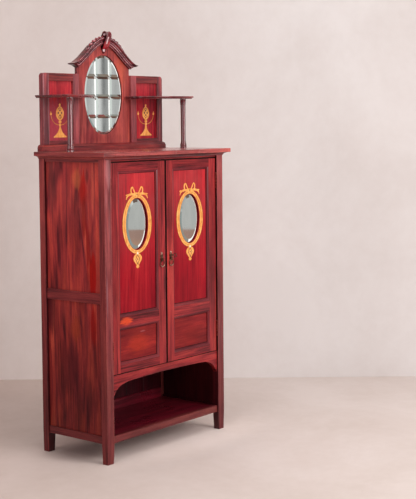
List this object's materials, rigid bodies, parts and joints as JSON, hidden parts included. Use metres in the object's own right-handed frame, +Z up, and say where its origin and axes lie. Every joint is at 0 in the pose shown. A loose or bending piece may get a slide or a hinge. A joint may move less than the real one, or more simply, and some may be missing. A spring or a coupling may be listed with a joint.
{
  "type": "chiffonier",
  "caption": "Tall narrow polished cabinet with inlaid panelled doors, an arched open shelf below, and a galleried back with an oval mirror and column shelves.",
  "frame": {"origin": "on the floor, centred under the bounding box", "axes": "+Z up, +X to the viewer's right when facing the doors, -Y out of the doors towards the viewer"},
  "size_m": [0.762, 0.373, 1.658],
  "materials": {
    "mahogany_frame": "french polished, pinkish red-brown with straight dark grain",
    "mahogany_door_panel": "polished crimson veneer with upright ribbon figure",
    "mahogany_side_panel": "polished dark red-brown veneer with flame figure",
    "mahogany_gallery": "french polished orange-red",
    "plain_board": "stained softwood, dull",
    "satinwood_inlay": "golden satinwood let in flush",
    "mirror_glass": "silvered, bevelled edge",
    "antique_brass": "dull antique brass, darkened in the hollows",
    "old_steel": "worn dark steel"
  },
  "bodies": {
    "carcase": {"post_front_left": "mahogany_frame", "post_front_right": "mahogany_frame", "post_back_left": "mahogany_frame", "post_back_right": "mahogany_frame", "side_top_rail_left": "mahogany_frame", "side_top_rail_right": "mahogany_frame", "side_mid_rail_left": "mahogany_frame", "side_mid_rail_right": "mahogany_frame", "side_bottom_rail_left": "mahogany_frame", "side_bottom_rail_right": "mahogany_frame", "back_bottom_rail": "mahogany_frame", "front_top_rail": "mahogany_frame", "lower_front_rail": "mahogany_frame", "apron": "mahogany_frame", "lower_shelf": "mahogany_frame", "top_board": "mahogany_frame", "cove_moulding": "mahogany_frame", "side_panel_upper_left": "mahogany_side_panel", "side_panel_upper_right": "mahogany_side_panel", "side_panel_lower_left": "mahogany_side_panel", "side_panel_lower_right": "mahogany_side_panel", "back_panel": "plain_board", "cabinet_floor": "plain_board", "inner_shelf": "plain_board", "gallery_plinth": "mahogany_gallery", "gallery_wing_frame_left": "mahogany_gallery", "gallery_wing_frame_right": "mahogany_gallery", "gallery_centre_board": "mahogany_gallery", "cornice_moulding": "mahogany_gallery", "carved_crest": "mahogany_gallery", "display_shelf_left": "mahogany_gallery", "display_shelf_right": "mahogany_gallery", "column_left": "mahogany_gallery", "column_right": "mahogany_gallery", "gallery_wing_panel_left": "mahogany_door_panel", "gallery_wing_panel_right": "mahogany_door_panel", "gallery_mirror": "mirror_glass", "hinge_lower_post_leaf_left": "antique_brass", "hinge_lower_post_leaf_right": "antique_brass", "hinge_upper_post_leaf_left": "antique_brass", "hinge_upper_post_leaf_right": "antique_brass"},
    "left_door": {"left_door_frame": "mahogany_frame", "left_door_upper_panel": "mahogany_door_panel", "left_door_lower_panel": "mahogany_door_panel", "left_door_mirror": "mirror_glass", "left_handle_plate": "antique_brass", "hinge_lower_door_leaf_left": "antique_brass", "hinge_upper_door_leaf_left": "antique_brass"},
    "left_handle": {"left_handle_drop": "antique_brass"},
    "right_door": {"right_door_frame": "mahogany_frame", "right_door_upper_panel": "mahogany_door_panel", "right_door_lower_panel": "mahogany_door_panel", "right_door_mirror": "mirror_glass", "right_handle_plate": "antique_brass", "hinge_lower_door_leaf_right": "antique_brass", "hinge_upper_door_leaf_right": "antique_brass", "lock_case": "antique_brass"},
    "right_handle": {"right_handle_drop": "antique_brass"},
    "key": {"key": "old_steel"},
    "lock_bolt": {"lock_bolt": "old_steel"}
  },
  "joints": [
    {"name": "left_door_hinge", "type": "hinge", "parent": "carcase", "child": "left_door", "pos_m": [-0.31575, -0.15775, 0.738], "axis": [0, 0, -1], "range_deg": [0, 120]},
    {"name": "right_door_hinge", "type": "hinge", "parent": "carcase", "child": "right_door", "pos_m": [0.31575, -0.15775, 0.738], "axis": [0, 0, 1], "range_deg": [0, 120]},
    {"name": "left_handle_swing", "type": "hinge", "parent": "left_door", "child": "left_handle", "pos_m": [-0.0275, -0.15925, 0.75], "axis": [-1, 0, 0], "range_deg": [0, 75]},
    {"name": "right_handle_swing", "type": "hinge", "parent": "right_door", "child": "right_handle", "pos_m": [0.0275, -0.15925, 0.75], "axis": [-1, 0, 0], "range_deg": [0, 75]},
    {"name": "key_turn", "type": "hinge", "parent": "right_door", "child": "key", "pos_m": [0.0275, -0.16, 0.762], "axis": [0, 1, 0], "range_deg": [0, 90]},
    {"name": "bolt_slide", "type": "slide", "parent": "right_door", "child": "lock_bolt", "axis": [-1, 0, 0], "range_m": [0, 0.009]}
  ],
  "couplings": [
    {"joint": "key_turn", "follows": "bolt_slide", "rad_per_m": 174.53}
  ]
}
